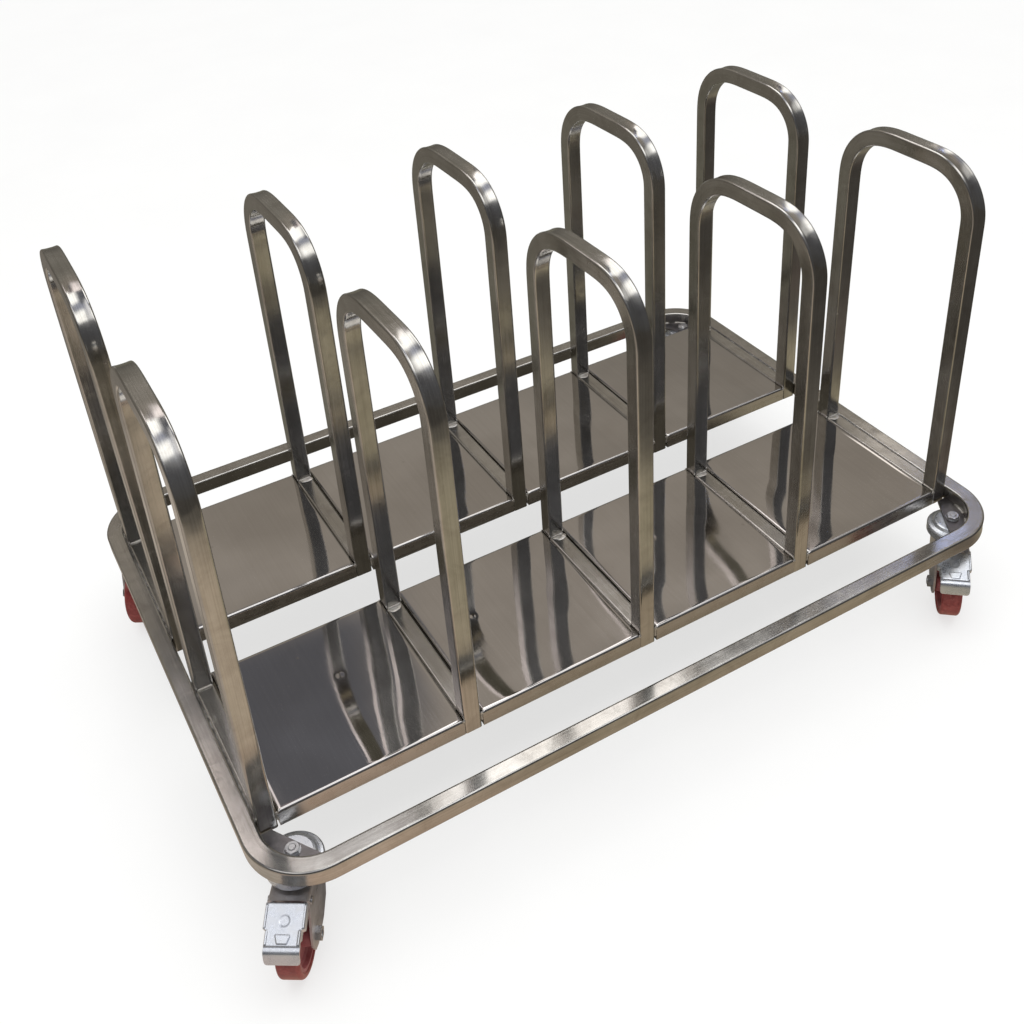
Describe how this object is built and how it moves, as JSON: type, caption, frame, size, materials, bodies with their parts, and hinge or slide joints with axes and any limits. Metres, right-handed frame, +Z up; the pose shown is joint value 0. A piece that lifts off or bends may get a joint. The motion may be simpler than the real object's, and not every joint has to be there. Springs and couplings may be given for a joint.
{
  "type": "ingredient bin trolley",
  "caption": "Low stainless trolley: a rounded square-tube base on swivel casters, the front two braked, carries two rows of flat trays divided by tall inverted-U hoops that keep bins or sacks upright.",
  "frame": {"origin": "on the floor under the middle of the whole object's box, casters turned as in the picture", "axes": "+X along the long side to the right, +Y from the front rail to the back rail, +Z up"},
  "size_m": [1.2228, 0.8668, 0.715],
  "materials": {
    "stainless_tube": "brushed satin stainless tube",
    "stainless_sheet": "bright polished stainless sheet",
    "zinc_plate": "bluish bright zinc plate on pressed steel",
    "fastener_steel": "bright zinc-plated fasteners and turned steel",
    "wheel_plastic": "moulded dark red nylon",
    "polyurethane": "semi-gloss dark red polyurethane"
  },
  "bodies": {
    "frame": {"perimeter_frame": "stainless_tube", "front_hoop_1": "stainless_tube", "front_hoop_2": "stainless_tube", "front_hoop_3": "stainless_tube", "front_hoop_4": "stainless_tube", "front_hoop_5": "stainless_tube", "front_row_crossbars": "stainless_tube", "front_tray_1": "stainless_sheet", "front_tray_2": "stainless_sheet", "front_tray_3": "stainless_sheet", "front_tray_4": "stainless_sheet", "back_hoop_1": "stainless_tube", "back_hoop_2": "stainless_tube", "back_hoop_3": "stainless_tube", "back_hoop_4": "stainless_tube", "back_hoop_5": "stainless_tube", "back_row_crossbars": "stainless_tube", "back_tray_1": "stainless_sheet", "back_tray_2": "stainless_sheet", "back_tray_3": "stainless_sheet", "back_tray_4": "stainless_sheet", "front_left_gusset": "stainless_sheet", "front_left_swivel_cap": "zinc_plate", "front_left_ball_race": "fastener_steel", "front_right_gusset": "stainless_sheet", "front_right_swivel_cap": "zinc_plate", "front_right_ball_race": "fastener_steel", "back_left_gusset": "stainless_sheet", "back_left_swivel_cap": "zinc_plate", "back_left_ball_race": "fastener_steel", "back_right_gusset": "stainless_sheet", "back_right_swivel_cap": "zinc_plate", "back_right_ball_race": "fastener_steel", "kingpin_bolts": "fastener_steel"},
    "front_left_swivel": {"front_left_fork": "zinc_plate", "front_left_axle_and_pins": "fastener_steel", "front_left_wheel_bushing": "fastener_steel"},
    "front_left_wheel": {"front_left_wheel_core": "wheel_plastic", "front_left_wheel_tyre": "polyurethane"},
    "front_left_brake": {"front_left_brake_pedal": "zinc_plate"},
    "front_right_swivel": {"front_right_fork": "zinc_plate", "front_right_axle_and_pins": "fastener_steel", "front_right_wheel_bushing": "fastener_steel"},
    "front_right_wheel": {"front_right_wheel_core": "wheel_plastic", "front_right_wheel_tyre": "polyurethane"},
    "front_right_brake": {"front_right_brake_pedal": "zinc_plate"},
    "back_left_swivel": {"back_left_fork": "zinc_plate", "back_left_axle_bolt": "fastener_steel", "back_left_wheel_bushing": "fastener_steel"},
    "back_left_wheel": {"back_left_wheel_core": "wheel_plastic", "back_left_wheel_tyre": "polyurethane"},
    "back_right_swivel": {"back_right_fork": "zinc_plate", "back_right_axle_bolt": "fastener_steel", "back_right_wheel_bushing": "fastener_steel"},
    "back_right_wheel": {"back_right_wheel_core": "wheel_plastic", "back_right_wheel_tyre": "polyurethane"}
  },
  "joints": [
    {"name": "front_left_swivel_turn", "type": "hinge", "parent": "frame", "child": "front_left_swivel", "pos_m": [-0.53659, -0.33461, 0.125], "axis": [0, 0, 1], "continuous": true},
    {"name": "front_left_wheel_spin", "type": "hinge", "parent": "front_left_swivel", "child": "front_left_wheel", "pos_m": [-0.56055, -0.37151, 0.05], "axis": [0.8387, -0.5446, 0], "continuous": true},
    {"name": "front_left_brake_press", "type": "hinge", "parent": "front_left_swivel", "child": "front_left_brake", "pos_m": [-0.55729, -0.36648, 0.105], "axis": [0.8387, -0.5446, 0], "range_deg": [0, 10]},
    {"name": "front_right_swivel_turn", "type": "hinge", "parent": "frame", "child": "front_right_swivel", "pos_m": [0.55941, -0.33461, 0.125], "axis": [0, 0, 1], "continuous": true},
    {"name": "front_right_wheel_spin", "type": "hinge", "parent": "front_right_swivel", "child": "front_right_wheel", "pos_m": [0.53054, -0.36782, 0.05], "axis": [0.7547, -0.6561, 0], "continuous": true},
    {"name": "front_right_brake_press", "type": "hinge", "parent": "front_right_swivel", "child": "front_right_brake", "pos_m": [0.53448, -0.36329, 0.105], "axis": [0.7547, -0.6561, 0], "range_deg": [0, 10]},
    {"name": "back_left_swivel_turn", "type": "hinge", "parent": "frame", "child": "back_left_swivel", "pos_m": [-0.53659, 0.37139, 0.125], "axis": [0, 0, 1], "continuous": true},
    {"name": "back_left_wheel_spin", "type": "hinge", "parent": "back_left_swivel", "child": "back_left_wheel", "pos_m": [-0.55925, 0.33368, 0.05], "axis": [0.8572, -0.515, 0], "continuous": true},
    {"name": "back_right_swivel_turn", "type": "hinge", "parent": "frame", "child": "back_right_swivel", "pos_m": [0.55941, 0.37139, 0.125], "axis": [0, 0, 1], "continuous": true},
    {"name": "back_right_wheel_spin", "type": "hinge", "parent": "back_right_swivel", "child": "back_right_wheel", "pos_m": [0.53232, 0.33672, 0.05], "axis": [0.788, -0.6157, 0], "continuous": true}
  ]
}
